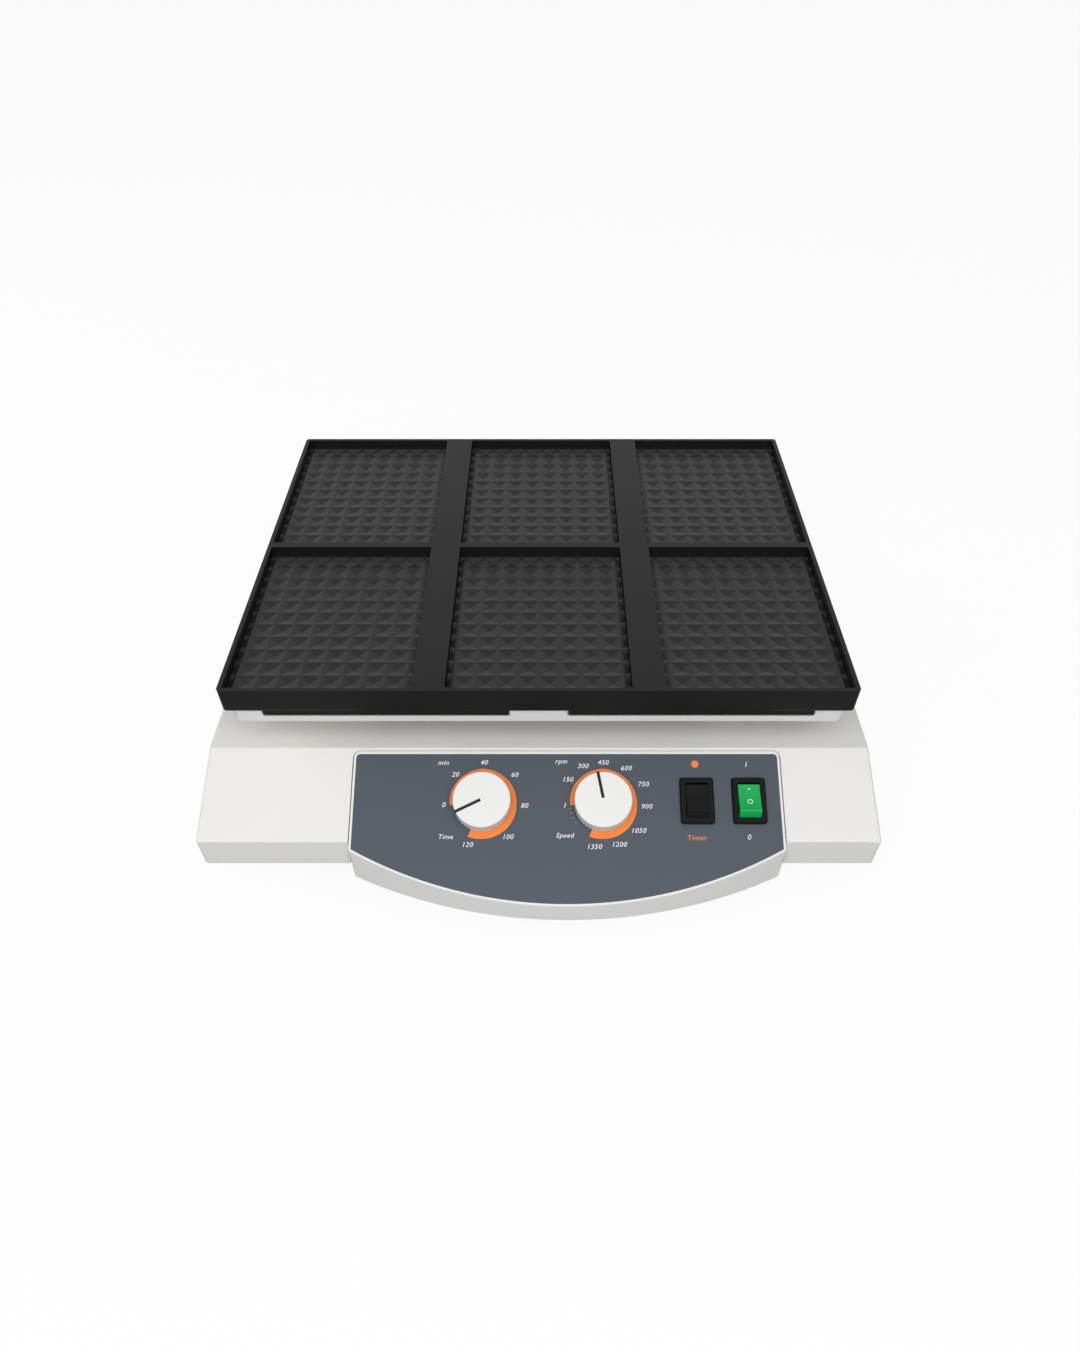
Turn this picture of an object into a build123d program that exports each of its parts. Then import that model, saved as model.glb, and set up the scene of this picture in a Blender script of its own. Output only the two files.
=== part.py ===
from build123d import *

import math
import os

# Platform shaker for six microplates. Sizes in millimetres, +Z up, +Y to the rear.
# The origin is on the bench, under the middle of the overall box.

# Nests of the platform tray, each for one standard microplate of 127.76 by 85.48
nest_width = 87.0
nest_length = 128.5
nest_columns = 3
nest_rows = 2
nest_depth = 7.2
nest_corner = 1.2

# Platform tray, a moulded frame with the nests and a skirt
tray_rim = 2.2
side_rib = 15.6
mid_rib = 5.0
tray_height = 13.0
tray_draft = 1.3
tray_corner = 2.0
tray_edge = 1.2
tray_floor = 2.3
tray_rib_wall = 2.2
tray_top_wall = 2.5
tray_skirt_inset = 1.8
tray_lip = 2.2
tray_lip_drop = 3.0
tray_lip_gap = 0.3
tray_boss_d = 8.0
tray_boss_height = 8.0

# Waffle mats that lie in the nests, with inverted pyramids moulded in their upper side
mat_gap = 0.3
mat_thickness = 3.2
mat_pitch_x = 10.0
mat_pitch_y = 10.9
mat_pit_depth = 1.2

# Carrier plate under the tray, a casting with a web, a rim and bearing bosses
plate_height = 7.8
plate_setback_x = 4.6
plate_setback_y = 2.6
plate_draft = 1.0
plate_corner = 3.0
plate_edge = 0.8
plate_web = 3.8
plate_rim = 4.2
plate_rib = 4.0
notch_inner_x = 13.4
notch_outer_x = 129.3
notch_depth = 4.1
notch_corner = 1.4
boss_wall = 4.0

# Orbit: every point of the table runs on a circle of twice this radius
eccentricity = 0.75
idler_x = 92.0
idler_front = 82.0
idler_rear = 88.0

# Heights of the housing, counted upwards from the bench
foot_height = 15.0
pan_depth = 14.2
lip_height = 15.5
slope_rise = 24.3
table_gap = 22.2

# Housing shell with a level deck, a sloped front and a lip below the widest line
slope_angle = 31.0
deck_setback = 11.3
deck_margin = 12.1
rear_reach = 38.0
housing_flare = 1.6
lip_draft = 1.8
housing_wall = 2.5
housing_edge = 1.0
housing_lip_edge = 1.6

# Console, a separate moulding let into the front of the housing, off centre
console_width = 206.2
console_offset = 13.4
console_top_u = 1.9
console_side_u = 51.2
console_bow = 26.5
console_skirt_z = 18.0
console_under_angle = 15.0
console_skirt_draft = 1.4
console_wall = 2.5
console_gap = 0.5
console_slot = 0.9
console_corner = 3.0
console_ear = 9.0
console_boss_d = 8.0
console_boss = 6.0
console_ear_top_u = 12.0
console_ear_low_u = 38.0
console_skirt_corner = 1.6
label_gap = 0.1
label_rim = 1.1
label_top_rim = 1.3
label_thickness = 0.4

# Dials on the console, placed across the housing and down the slope
timer_dial_x = -27.0
speed_dial_x = 30.5
dial_u = 28.7
knob_d = 27.3
knob_height = 8.3
knob_lift = 0.5
knob_cap = 2.0
knob_edge = 0.5
knob_flutes = 48
knob_flute_depth = 0.45
knob_hollow_d = 19.0
knob_hollow = 3.4
pointer_width = 1.4
pointer_depth = 0.8
pointer_drop = 3.0
pointer_start = 0.6
pointer_proud = 0.15
timer_pointer_angle = 206.5
speed_pointer_angle = 100.4
pot_shaft_d = 6.0
pot_bushing_d = 9.0
pot_body_d = 17.0
pot_body_length = 9.0
pot_nut_width = 12.0
pot_nut_height = 2.0
shaft_gap = 0.05

# Rocker switches
timer_switch_x = 75.5
power_switch_x = 100.4
switch_u = 27.1
switch_frame_width = 16.2
switch_frame_length = 22.8
switch_frame_height = 2.0
switch_frame_corner = 1.4
switch_frame_bevel = 0.6
switch_body_width = 12.8
switch_body_length = 19.6
switch_body_depth = 13.0
rocker_width = 10.3
rocker_side_gap = 0.25
rocker_end_gap = 0.2
rocker_half_top = 7.2
rocker_half_base = 8.5
rocker_top = 3.8
rocker_dip = 0.6
rocker_base = 0.6
rocker_belly = 4.5
rocker_tilt = 13.0
rocker_edge = 0.4
rocker_pin_d = 2.4
rocker_pin = 0.8

# Base pan of folded sheet, feet and fasteners
pan_inset = 15.0
pan_wall = 1.5
pan_corner = 8.0
pan_brim_gap = 0.6
pan_brim_lift = 2.5
pan_post_d = 9.0
pan_post_inset = 10.8
pan_clearance = 1.0
vent_count = 9
vent_width = 3.0
vent_length = 40.0
vent_pitch = 8.0
foot_d = 24.0
foot_taper = 6.0
foot_inset = 24.0
screw_d = 4.0
screw_head_d = 7.0
screw_head = 2.6
small_screw_d = 3.0
small_head_d = 5.6
small_head = 2.0
hole_gap = 0.2

# Chassis plate on pillars, which carries the drive
chassis_width = 250.0
chassis_front = 107.0
chassis_rear = 113.0
chassis_thickness = 6.0
chassis_corner = 10.0
pillar_length = 27.5
pillar_width = 12.0
pillar_inset = 9.0

# Drive: main crank in a flanged housing, driven by a toothed belt
main_bore = 12.0
main_bearing_od = 32.0
main_bearing_width = 10.0
pin_bore = 12.0
pin_bearing_od = 28.0
pin_bearing_width = 8.0
idler_bore = 8.0
idler_bearing_od = 22.0
idler_bearing_width = 7.0
race_gap = 0.05
bearing_recess = 1.0
seat_gap = 0.02
main_flange_d = 66.0
main_flange = 5.0
main_barrel_d = 44.0
main_barrel_drop = 14.0
main_barrel_top = 7.0
carrier_flange_d = 48.0
carrier_flange = 4.0
carrier_barrel_d = 32.0
carrier_top_gap = 5.0
main_screw_r = 27.5
carrier_screw_r = 20.0
crank_hub_d = 17.0
slinger_d = 34.0
slinger = 1.5
slinger_lift = 1.5
crank_hole_d = 27.0
idler_collar_d = 13.0
weight_radius = 40.0
weight_thickness = 6.0
weight_hub_d = 27.0
deck_hole_gap = 0.6
belt_pitch = 3.0
driven_teeth = 60
motor_teeth = 24
tooth_depth = 1.1
pulley_lift = 3.0
pulley_width = 7.0
pulley_flange = 1.0
pulley_flange_rise = 1.6
belt_width = 6.0
belt_thickness = 1.3
belt_clearance = 0.3
motor_x = -84.0
motor_d = 50.0
motor_length = 32.0
motor_boss_d = 16.0
motor_boss = 2.0
motor_shaft_d = 6.0
bracket_wall = 2.5
bracket_gap = 1.5
bracket_drop = 14.5
bracket_flange = 9.0

# Electrical parts
board_x = 92.0
board_y = 0.0
board_width = 84.0
board_length = 116.0
board_thickness = 1.6
standoff_height = 7.5
standoff_d = 6.0
transformer_x = -72.0
transformer_width = 54.0
transformer_depth = 36.0
transformer_height = 42.0
inlet_x = 92.0
inlet_z = 50.5
inlet_recess = 4.0
inlet_flange_width = 50.0
inlet_flange_height = 30.0
inlet_flange = 2.0
inlet_body_width = 27.4
inlet_body_height = 27.0
inlet_body_depth = 19.0
socket_width = 24.4
socket_height = 16.8
socket_depth = 15.5
socket_chamfer = 5.0
inlet_screw_spacing = 40.0
pin_width = 2.0
pin_height = 4.0
pin_length = 13.5
pin_spacing = 7.0
pin_offset = 2.0
drawer_width = 22.0
drawer_height = 6.6
drawer_depth = 15.0
drawer_gap = 0.2
drawer_lid = 1.4
socket_z = 4.2
drawer_z = -9.0

# The motor bracket's width follows from the motor
bracket_width = motor_d + 2 * (bracket_wall + bracket_gap)

# Levels
pan_z = foot_height
lip_z = pan_z + pan_depth
crease_z = lip_z + lip_height
deck_z = crease_z + slope_rise
plate_z = deck_z + table_gap
plate_top_z = plate_z + plate_height
tray_top_z = plate_top_z + tray_height
nest_floor_z = tray_top_z - nest_depth
deck_under_z = deck_z - housing_wall
pan_floor_z = pan_z + pan_wall
brim_z = lip_z + pan_brim_lift
pulley_low_z = pan_floor_z + pulley_lift
chassis_z = pan_floor_z + pillar_length
chassis_top_z = chassis_z + chassis_thickness

# Plan sizes
tray_width = 2 * tray_rim + nest_columns * nest_width + (nest_columns - 1) * side_rib
tray_depth = 2 * tray_rim + nest_rows * nest_length + (nest_rows - 1) * mid_rib
slope_sin = math.sin(math.radians(slope_angle))
slope_cos = math.cos(math.radians(slope_angle))
slope_run = slope_rise * slope_cos / slope_sin
console_front_u = console_side_u + console_bow
console_reach = console_front_u * slope_cos - deck_setback
table_y = (console_reach - rear_reach) / 2
tray_front_y = table_y - tray_depth / 2
rear_y = table_y + tray_depth / 2 + rear_reach
deck_front_y = tray_front_y + deck_setback
crease_front_y = deck_front_y - slope_run
deck_half = tray_width / 2 + deck_margin
crease_half = deck_half + housing_flare
crank_y = table_y - eccentricity
mat_names = [row + "_" + column for row in ("front", "rear") for column in ("left", "middle", "right")]
console_left = console_offset - console_width / 2
console_right = console_offset + console_width / 2
slope_plane = Plane(
    origin=(0, deck_front_y, deck_z),
    x_dir=(1, 0, 0),
    z_dir=(0, -slope_sin, slope_cos),
)


def on_slope(x, u, lift=0.0):
    """A place on the front slope: x across, u down the slope from the deck's edge, lift above it."""
    return slope_plane * Pos(x, -u, lift)


def rod(diameter, low, high, x=0.0, y=0.0):
    """An upright cylinder between two heights."""
    return Pos(x, y, low) * Cylinder(diameter / 2, high - low, align=(Align.CENTER, Align.CENTER, Align.MIN))


def tube(outer, inner, low, high, x=0.0, y=0.0):
    """An upright ring between two heights."""
    return rod(outer, low, high, x, y) - rod(inner, low - 1, high + 1, x, y)


def block(width, depth, low, high, x=0.0, y=0.0):
    """An upright block between two heights, centred on x and y."""
    return Pos(x, y, low) * Box(width, depth, high - low, align=(Align.CENTER, Align.CENTER, Align.MIN))


def rounded_block(width, depth, low, high, radius, x=0.0, y=0.0):
    """An upright block with rounded corners between two heights."""
    return Pos(x, y, low) * extrude(RectangleRounded(width, depth, radius), high - low)


def frustum(low, low_z, high, high_z):
    """A solid between two rectangles, each given as left, right, front and rear."""
    faces = []
    for (left, right, front, rear), z in ((low, low_z), (high, high_z)):
        middle = Pos((left + right) / 2, (front + rear) / 2, z)
        faces.append(middle * Rectangle(right - left, rear - front))
    return loft(faces)


def drafted_block(width, depth, low, high, draft, radius, y=0.0):
    """A block that is narrower at the bottom by the draft on each side."""
    foot = Pos(0, y, low) * RectangleRounded(width - 2 * draft, depth - 2 * draft, radius)
    head = Pos(0, y, high) * RectangleRounded(width, depth, radius)
    return loft([foot, head])


def pan_head_screw(diameter, head_d, head, length, place):
    """A screw whose head stands on the place's upper side and whose shank goes down into it."""
    shank = Pos(0, 0, -length) * Cylinder(diameter / 2, length, align=(Align.CENTER, Align.CENTER, Align.MIN))
    cap = Cylinder(head_d / 2, head, align=(Align.CENTER, Align.CENTER, Align.MIN))
    cap = fillet(cap.edges().group_by(Axis.Z)[-1], head * 0.4)
    slot = Pos(0, 0, head) * Box(head_d * 0.7, 0.8, head * 0.8)
    return place * (cap + shank - slot)


def nest_centres():
    """The middle of each nest, front row first, from left to right."""
    centres = []
    for row in range(nest_rows):
        y = tray_front_y + tray_rim + nest_length / 2 + row * (nest_length + mid_rib)
        for column in range(nest_columns):
            x = (column - (nest_columns - 1) / 2) * (nest_width + side_rib)
            centres.append((x, y))
    return centres


def rib_centres():
    """The x of each wide rib between two columns of nests."""
    return [(i - (nest_columns - 2) / 2) * (nest_width + side_rib) for i in range(nest_columns - 1)]


def tray_screw_places():
    """Where the tray's screws stand, under the wide ribs."""
    reach = tray_depth / 4
    return [(x, table_y + side * reach) for x in rib_centres() for side in (-1, 1)]


def notch_spans():
    """The notches in the plate's front and rear edge, as x middle, x length and side."""
    length = notch_outer_x - notch_inner_x
    middle = (notch_outer_x + notch_inner_x) / 2
    return [(x * middle, length, side) for x in (-1, 1) for side in (-1, 1)]


def make_tray():
    low = plate_top_z
    tray = drafted_block(tray_width, tray_depth, low, tray_top_z, tray_draft, tray_corner, table_y)
    tray = fillet(tray.edges().group_by(Axis.Z)[0], tray_edge)
    floor_z = nest_floor_z - tray_floor
    for x, y in nest_centres():
        tray -= rounded_block(nest_width, nest_length, nest_floor_z, tray_top_z + 1, nest_corner, x, y)
        hollow_width = nest_width - 2 * tray_skirt_inset
        hollow_length = nest_length - 2 * tray_skirt_inset
        tray -= rounded_block(hollow_width, hollow_length, low - 1, floor_z, nest_corner, x, y)
    channel = side_rib - 2 * tray_rib_wall
    channel_length = tray_depth - 2 * (tray_rim + tray_skirt_inset)
    for x in rib_centres():
        tray -= block(channel, channel_length, low - 1, tray_top_z - tray_top_wall, x, table_y)
    for x, y in tray_screw_places():
        tray += rod(tray_boss_d, low, low + tray_boss_height, x, y)
        tray -= rod(small_screw_d, low - 1, low + tray_boss_height - 1, x, y)
        for side in (-1, 1):
            rib_x = x + side * (tray_boss_d + channel) / 4
            tray += block(channel / 2 - tray_boss_d / 4, tray_rib_wall, low, low + tray_boss_height, rib_x, y)
    for x, length, side in notch_spans():
        lip_y = table_y + side * (tray_depth / 2 - plate_setback_y - tray_lip / 2)
        lip_length = length - 4 * tray_lip_gap
        tray += block(lip_length, tray_lip, low - tray_lip_drop, low + tray_rim, x, lip_y)
    return tray


def make_mat():
    """One mat at the middle of a nest, with its underside at zero."""
    width = nest_width - 2 * mat_gap
    length = nest_length - 2 * mat_gap
    columns = 2 * math.ceil(width / mat_pitch_x / 2)
    rows = 2 * math.ceil((length / mat_pitch_y - 1) / 2) + 1
    top = mat_thickness
    xs = [(i - columns / 2) * mat_pitch_x for i in range(columns + 1)]
    ys = [(i - rows / 2) * mat_pitch_y for i in range(rows + 1)]
    faces = []
    for left, right in zip(xs, xs[1:]):
        for front, rear in zip(ys, ys[1:]):
            pit = (left + mat_pitch_x / 2, front + mat_pitch_y / 2, top - mat_pit_depth)
            ring = [(left, front, top), (right, front, top), (right, rear, top), (left, rear, top)]
            for a, b in zip(ring, ring[1:] + ring[:1]):
                faces.append(Face(Wire.make_polygon([a, b, pit])))
    ends = (ys[0], ys[-1])
    for y in ends:
        edge = [(x, y, top) for x in xs]
        faces.append(Face(Wire.make_polygon(edge + [(xs[-1], y, 0), (xs[0], y, 0)])))
    for x in (xs[0], xs[-1]):
        edge = [(x, y, top) for y in ys]
        faces.append(Face(Wire.make_polygon(edge + [(x, ys[-1], 0), (x, ys[0], 0)])))
    base = [(xs[0], ys[0], 0), (xs[-1], ys[0], 0), (xs[-1], ys[-1], 0), (xs[0], ys[-1], 0)]
    faces.append(Face(Wire.make_polygon(base)))
    sheet = Solid(Shell(faces))
    return sheet & extrude(RectangleRounded(width, length, nest_corner), top)


def idler_places():
    """The idlers by name, with the place of their upper pin at rest."""
    return {
        "front_left": (-idler_x, table_y - idler_front),
        "front_right": (idler_x, table_y - idler_front),
        "rear": (0.0, table_y + idler_rear),
    }


pin_seat_z = plate_top_z - plate_web - 3.0 - pin_bearing_width
idler_seat_z = plate_top_z - plate_web - 3.0 - idler_bearing_width


def make_carrier_plate():
    plate = drafted_block(
        tray_width - 2 * plate_setback_x, tray_depth - 2 * plate_setback_y,
        plate_z, plate_top_z, plate_draft, plate_corner, table_y,
    )
    plate = fillet(plate.edges().group_by(Axis.Z)[0], plate_edge)
    inner_width = tray_width - 2 * (plate_setback_x + plate_draft + plate_rim)
    inner_depth = tray_depth - 2 * (plate_setback_y + plate_draft + plate_rim)
    web_z = plate_top_z - plate_web
    plate -= rounded_block(inner_width, inner_depth, plate_z - 1, web_z, plate_corner, 0, table_y)
    for x in (-idler_x, 0, idler_x):
        plate += block(plate_rib, inner_depth, plate_z, web_z, x, table_y)
    for y in (table_y - idler_front, table_y, table_y + idler_rear):
        plate += block(inner_width, plate_rib, plate_z, web_z, 0, y)
    seats = [(0.0, table_y, pin_bearing_od, pin_bearing_width, pin_seat_z, pin_bore)]
    for x, y in idler_places().values():
        seats.append((x, y, idler_bearing_od, idler_bearing_width, idler_seat_z, idler_bore))
    for x, y, od, width, seat_z, bore in seats:
        plate += rod(od + 2 * boss_wall, seat_z, web_z, x, y)
    for x, y, od, width, seat_z, bore in seats:
        plate -= rod(od + 2 * seat_gap, seat_z - 1, seat_z + width, x, y)
        plate -= rod(bore + 4, seat_z, web_z - 1, x, y)
    for x, y in tray_screw_places():
        plate -= rod(small_screw_d + 2 * hole_gap, web_z - 1, plate_top_z + 1, x, y)
    for x, length, side in notch_spans():
        edge_y = table_y + side * (tray_depth / 2 - plate_setback_y)
        cut = tray_lip + tray_lip_gap
        notch = block(length, 2 * cut, plate_top_z - notch_depth, plate_top_z + 1, x, edge_y)
        notch = fillet(notch.edges().filter_by(Axis.Y).group_by(Axis.Z)[0], notch_corner)
        plate -= notch
    return plate


def bearing(bore, outer, width, low, x, y, part):
    """The inner or outer ring of a sealed ball bearing, whose balls aren't modelled."""
    middle = (bore + outer) / 2
    if part == "inner":
        return tube(middle - race_gap, bore + 2 * seat_gap, low, low + width, x, y)
    return tube(outer, middle + race_gap, low, low + width, x, y)


main_low_z = chassis_z - main_barrel_drop + bearing_recess
main_high_z = chassis_top_z + main_barrel_top - bearing_recess - main_bearing_width
idler_high_z = deck_z + carrier_top_gap - bearing_recess - idler_bearing_width


def housing_form(inset, low_z):
    """The housing's closed form down to a level, with every face moved inwards by the inset."""
    wide_z = crease_z - inset * (1 - slope_sin) / slope_cos
    wide = (inset - crease_half, crease_half - inset, crease_front_y + inset, rear_y - inset)
    front = deck_front_y + inset * (1 - slope_cos) / slope_sin
    deck = (inset - deck_half, deck_half - inset, front, rear_y - housing_flare - inset)
    draft = lip_draft * (wide_z - low_z) / lip_height
    foot = (wide[0] + draft, wide[1] - draft, wide[2] + draft, wide[3] - draft)
    return frustum(foot, low_z, wide, wide_z) + frustum(wide, wide_z, deck, deck_z - inset)


def housing_block():
    """The housing's outer form with rounded edges."""
    body = housing_form(0.0, lip_z)
    low = body.edges().group_by(Axis.Z)[0]
    upright = [e for e in body.edges() if abs(e.tangent_at(0.5).Z) > 0.2]
    body = fillet(upright, housing_lip_edge)
    rims = [e for e in body.edges() if e.center().Z > crease_z + 1 and abs(e.tangent_at(0.5).Z) < 0.2]
    body = fillet(rims, housing_edge)
    return body


def console_face(inset, level, rear_y_at):
    """The console's plan outline, inset and laid on a surface whose height is a function of y."""
    left = console_left + inset
    right = console_right - inset
    side_y = deck_front_y - console_side_u * slope_cos + inset
    front_y = deck_front_y - console_front_u * slope_cos + inset
    spots = []
    for x, y in (
        (left, side_y), (left, rear_y_at), (right, rear_y_at), (right, side_y), (console_offset, front_y),
    ):
        spots.append((x, y, level(y)))
    edges = [Line(spots[i], spots[i + 1]) for i in range(3)]
    edges.append(ThreePointArc(spots[3], spots[4], spots[0]))
    return Face(Wire(edges))


def console_form(inset, rear_y_at):
    """The console's closed form with every face moved inwards: slope above, drafted skirt, raked underside."""
    rake = math.radians(console_under_angle)
    front_y = deck_front_y - console_front_u * slope_cos

    def top(y):
        return deck_z + (y - deck_front_y) * slope_sin / slope_cos - inset / slope_cos

    def under(y):
        return console_skirt_z + (y - front_y) * math.tan(rake) + inset / math.cos(rake)

    head = console_face(inset, top, rear_y_at)
    foot = console_face(inset + console_skirt_draft, under, rear_y_at)
    return loft([foot, head], ruled=True)


def label_face(inset):
    """The label's outline on the front slope, drawn in the slope's own coordinates."""
    left = console_left + label_rim + inset
    right = console_right - label_rim - inset
    top = -(console_top_u + label_top_rim + inset)
    side = -(console_side_u - label_rim / 2 - inset)
    front = -(console_front_u - label_rim - inset)
    edges = [
        Line((left, side), (left, top)),
        Line((left, top), (right, top)),
        Line((right, top), (right, side)),
        ThreePointArc((right, side), (console_offset, front), (left, side)),
    ]
    face = make_face(Wire(edges))
    return fillet(face.vertices().group_by(Axis.Y)[-1], console_corner - label_rim)


def dial_xs():
    """The dials' places across the housing, by name."""
    return {"timer": timer_dial_x, "speed": speed_dial_x}


def switch_xs():
    """The switches' places across the housing, by name."""
    return {"timer": timer_switch_x, "power": power_switch_x}


def panel_holes(low):
    """Everything that passes through the console's sloped wall, as one cutting body."""
    cut = []
    for x in dial_xs().values():
        hole = Cylinder(pot_bushing_d / 2 + hole_gap, 1 - low, align=(Align.CENTER, Align.CENTER, Align.MIN))
        cut.append(on_slope(x, dial_u, low) * hole)
    for x in switch_xs().values():
        width = switch_body_width + 2 * hole_gap
        length = switch_body_length + 2 * hole_gap
        hole = Box(width, length, 1 - low, align=(Align.CENTER, Align.CENTER, Align.MIN))
        cut.append(on_slope(x, switch_u, low) * hole)
    return cut


def ear_places():
    """Where the console's ears are screwed to the housing, as x, u and outward side."""
    reach = console_ear / 2 + console_gap
    spots = []
    for u in (console_ear_top_u, console_ear_low_u):
        spots.append((console_left - reach, u, -1))
        spots.append((console_right + reach, u, 1))
    return spots


def make_console_housing():
    rear = deck_front_y - console_top_u * slope_cos
    body = console_form(0.0, rear)
    upright = [e for e in body.edges() if abs(e.tangent_at(0.5).Z) > 0.9]
    corners = ShapeList(upright).sort_by(Axis.Y)
    body = fillet(corners[2:], console_corner)
    body = fillet([e for e in body.edges() if abs(e.tangent_at(0.5).Z) > 0.9 and e.center().Y < rear - 20],
                  console_skirt_corner)
    body -= console_form(console_wall, rear + console_wall)
    body -= extrude(slope_plane * label_face(0.0), -label_thickness)
    for cut in panel_holes(-3 * console_wall):
        body -= cut
    ear_lift = -(housing_wall + console_boss + console_wall / 2)
    for x, u, side in ear_places():
        width = console_ear + console_gap + console_wall
        ear = Box(width, console_ear, console_wall)
        body += on_slope(x - side * (width - console_ear) / 2, u, ear_lift) * ear
        body -= on_slope(x, u, ear_lift) * Cylinder(small_screw_d / 2 + hole_gap, 3 * console_wall)
    return body


def make_panel_label():
    label = extrude(slope_plane * label_face(label_gap), -label_thickness)
    for cut in panel_holes(-console_wall):
        label -= cut
    return label


def post_places():
    """The housing's posts, which stand on the pan's brim."""
    x = crease_half - pan_post_inset
    front = crease_front_y + pan_post_inset + 5
    rear = rear_y - pan_post_inset
    return [(side * x, y) for side in (-1, 1) for y in (front, (front + rear) / 2, rear)]


inlet_plane = Plane(origin=(inlet_x, rear_y - inlet_recess, inlet_z), x_dir=(-1, 0, 0), z_dir=(0, 1, 0))


def on_inlet(x, z, out=0.0):
    """A place on the inlet's seat: x across, z upwards, out towards the rear."""
    return inlet_plane * Pos(x, z, out)


def make_housing_shell():
    outer = housing_block()
    inner = housing_form(housing_wall, lip_z - 1)
    shell = outer - inner
    low = brim_z + pan_wall
    for x, y in post_places():
        shell += rod(pan_post_d, low, deck_z, x, y) & outer
        shell -= rod(small_screw_d + 2 * seat_gap, low - 1, low + 9, x, y)
    pad = on_inlet(0, 0, -housing_wall) * Box(
        inlet_flange_width + 4, inlet_flange_height + 4, 3 * housing_wall,
        align=(Align.CENTER, Align.CENTER, Align.MIN),
    )
    shell += pad & outer
    pocket = Box(inlet_flange_width + 1, inlet_flange_height + 1, 20, align=(Align.CENTER, Align.CENTER, Align.MIN))
    shell -= on_inlet(0, 0, 0) * pocket
    shell -= on_inlet(0, 0, -10) * Box(inlet_body_width + 2 * hole_gap, inlet_body_height + 2 * hole_gap, 30)
    for side in (-1, 1):
        shell -= on_inlet(side * inlet_screw_spacing / 2, 0, -5) * Cylinder(small_screw_d / 2 + seat_gap, 20)
    top_y = deck_front_y - (console_top_u - console_slot) * slope_cos
    depth = top_y - crease_front_y + 20
    width = console_width + 2 * console_gap
    opening = rounded_block(width, depth, lip_z - 1, deck_z + 1, console_corner + console_gap,
                            console_offset, top_y - depth / 2)
    shell -= opening
    for x, u, side in ear_places():
        boss = Cylinder(console_boss_d / 2, console_boss + housing_wall / 2,
                        align=(Align.CENTER, Align.CENTER, Align.MAX))
        shell += on_slope(x, u, -housing_wall / 2) * boss
        drill = Cylinder(small_screw_d / 2 + seat_gap, console_boss, align=(Align.CENTER, Align.CENTER, Align.MAX))
        shell -= on_slope(x, u, -housing_wall) * drill
    shell -= rod(crank_hole_d, deck_under_z - 1, deck_z + 1, 0, crank_y)
    for x, y in idler_places().values():
        hole = carrier_barrel_d + 2 * deck_hole_gap
        shell -= rod(hole, deck_under_z - 1, deck_z + 1, x, y - eccentricity)
    return shell


def pan_span():
    """The pan's outer plan size: half width, front and rear."""
    inset = lip_draft + pan_inset
    return crease_half - inset, crease_front_y + inset, rear_y - inset


def foot_places():
    half, front, rear = pan_span()
    return [(side * (half - foot_inset), y) for side in (-1, 1) for y in (front + foot_inset, rear - foot_inset)]


def pillar_places():
    x = chassis_width / 2 - pillar_inset
    front = table_y - chassis_front + pillar_inset
    rear = table_y + chassis_rear - pillar_inset
    return [(side * x, y) for side in (-1, 1) for y in (front, rear)]


def make_base_pan():
    half, front, rear = pan_span()
    middle = (front + rear) / 2
    depth = rear - front
    top = brim_z + pan_wall
    pan = rounded_block(2 * half, depth, pan_z, top, pan_corner, 0, middle)
    pan = fillet(pan.edges().group_by(Axis.Z)[0], 2 * pan_wall)
    reach = pan_inset - housing_wall - pan_brim_gap
    pan += rounded_block(2 * (half + reach), depth + 2 * reach, brim_z, top, pan_corner, 0, middle)
    pan -= rounded_block(2 * (half - pan_wall), depth - 2 * pan_wall, pan_floor_z, top + 1,
                         pan_corner - pan_wall, 0, middle)
    for x, y in foot_places():
        pan += rod(2 * screw_d, pan_z, pan_floor_z + 3, x, y)
        pan -= rod(screw_d + 2 * seat_gap, pan_z - 1, pan_floor_z + 4, x, y)
    for x, y in pillar_places():
        pan -= rod(screw_d + 2 * hole_gap, pan_z - 1, pan_floor_z + 1, x, y)
    for x, y in post_places():
        pan -= rod(small_screw_d + 2 * hole_gap, brim_z - 1, top + 1, x, y)
    for x, y in standoff_places():
        pan -= rod(small_screw_d, pan_z - 1, pan_floor_z + 1, x, y)
    slots = [((i - (vent_count - 1) / 2) * vent_pitch, table_y - chassis_front / 1.4) for i in range(vent_count)]
    for x, y in slots:
        pan -= rounded_block(vent_width, vent_length, pan_z - 1, pan_floor_z + 1, vent_width / 2 - 0.01, x, y)
    pan -= console_form(-pan_clearance, deck_front_y)
    return pan


def make_rubber_feet():
    feet = []
    for x, y in foot_places():
        cone = Cone((foot_d - foot_taper) / 2, foot_d / 2, foot_height, align=(Align.CENTER, Align.CENTER, Align.MIN))
        foot = Pos(x, y, 0) * cone
        foot -= rod(screw_head_d + 2, -1, foot_height / 2, x, y)
        foot -= rod(screw_d + 2 * hole_gap, -1, foot_height + 1, x, y)
        feet.append(foot)
    return feet


def make_foot_screws():
    flip = Rot(180, 0, 0)
    length = foot_height / 2 + pan_wall + 2.5
    return [
        pan_head_screw(screw_d, screw_head_d, screw_head, length, Pos(x, y, foot_height / 2) * flip)
        for x, y in foot_places()
    ]


def make_pan_screws():
    flip = Rot(180, 0, 0)
    return [
        pan_head_screw(small_screw_d, small_head_d, small_head, 9.0, Pos(x, y, brim_z) * flip)
        for x, y in post_places()
    ]


def make_console_screws():
    lift = -(housing_wall + console_boss + console_wall)
    flip = Rot(180, 0, 0)
    return [
        pan_head_screw(small_screw_d, small_head_d, small_head, 7.0, on_slope(x, u, lift) * flip)
        for x, u, side in ear_places()
    ]


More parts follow.
